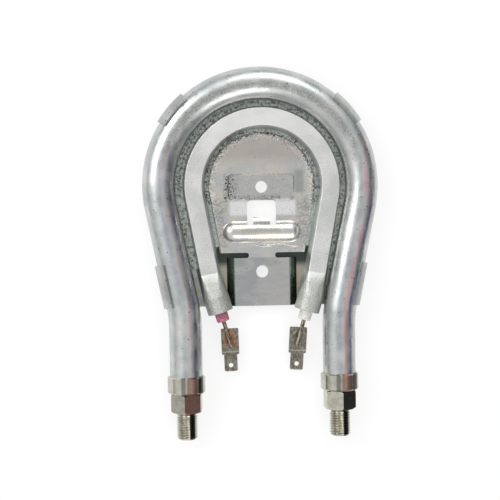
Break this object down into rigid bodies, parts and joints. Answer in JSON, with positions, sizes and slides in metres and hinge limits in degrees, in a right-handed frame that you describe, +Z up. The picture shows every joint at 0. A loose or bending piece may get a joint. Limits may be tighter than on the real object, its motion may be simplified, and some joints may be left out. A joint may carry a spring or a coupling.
{
  "type": "heating element",
  "caption": "Flow-through water heater: a horseshoe water tube with a tubular heating element brazed inside its bend, on a carrier sheet with a pressed sensor plate.",
  "frame": {"origin": "on the floor, under the middle of the whole part's box, with the carrier sheet lying on the floor", "axes": "+X to the right leg as seen from the terminal side, +Y towards the tube's bend, +Z up, from the carrier sheet to the element's flat face"},
  "size_m": [0.1122, 0.1766, 0.018],
  "materials": {
    "tube_aluminium": "brazed, slightly matt, with flux stains",
    "sheath_aluminium": "brazed, fine grain",
    "magnesia": "packed powder",
    "resistance_wire": "drawn wire",
    "pin_steel": "oxidised",
    "pink_ceramic": "matt",
    "white_ceramic": "matt",
    "tab_steel": "plated, with heat tint at the weld",
    "sheet_aluminium": "rolled, brazed",
    "pressed_aluminium": "rolled, bright",
    "braze_alloy": "granular fillet",
    "plated_collar": "nickel plated",
    "plated_brass": "nickel plated",
    "seal_rubber": "matt"
  },
  "bodies": {
    "root": {"water_tube": "tube_aluminium", "heater_sheath": "sheath_aluminium", "magnesia_fill": "magnesia", "heating_coil": "resistance_wire", "cold_pin_left": "pin_steel", "cold_pin_right": "pin_steel", "end_bead_left": "pink_ceramic", "end_bead_right": "white_ceramic", "terminal_tab_left": "tab_steel", "terminal_tab_right": "tab_steel", "carrier_plate": "sheet_aluminium", "sensor_plate": "pressed_aluminium", "outer_braze": "braze_alloy", "inner_braze": "braze_alloy", "collar_left": "plated_collar", "collar_right": "plated_collar", "inlet_fitting": "plated_brass", "outlet_fitting": "plated_brass", "seal_ring_left": "seal_rubber", "seal_ring_right": "seal_rubber"}
  },
  "joints": []
}
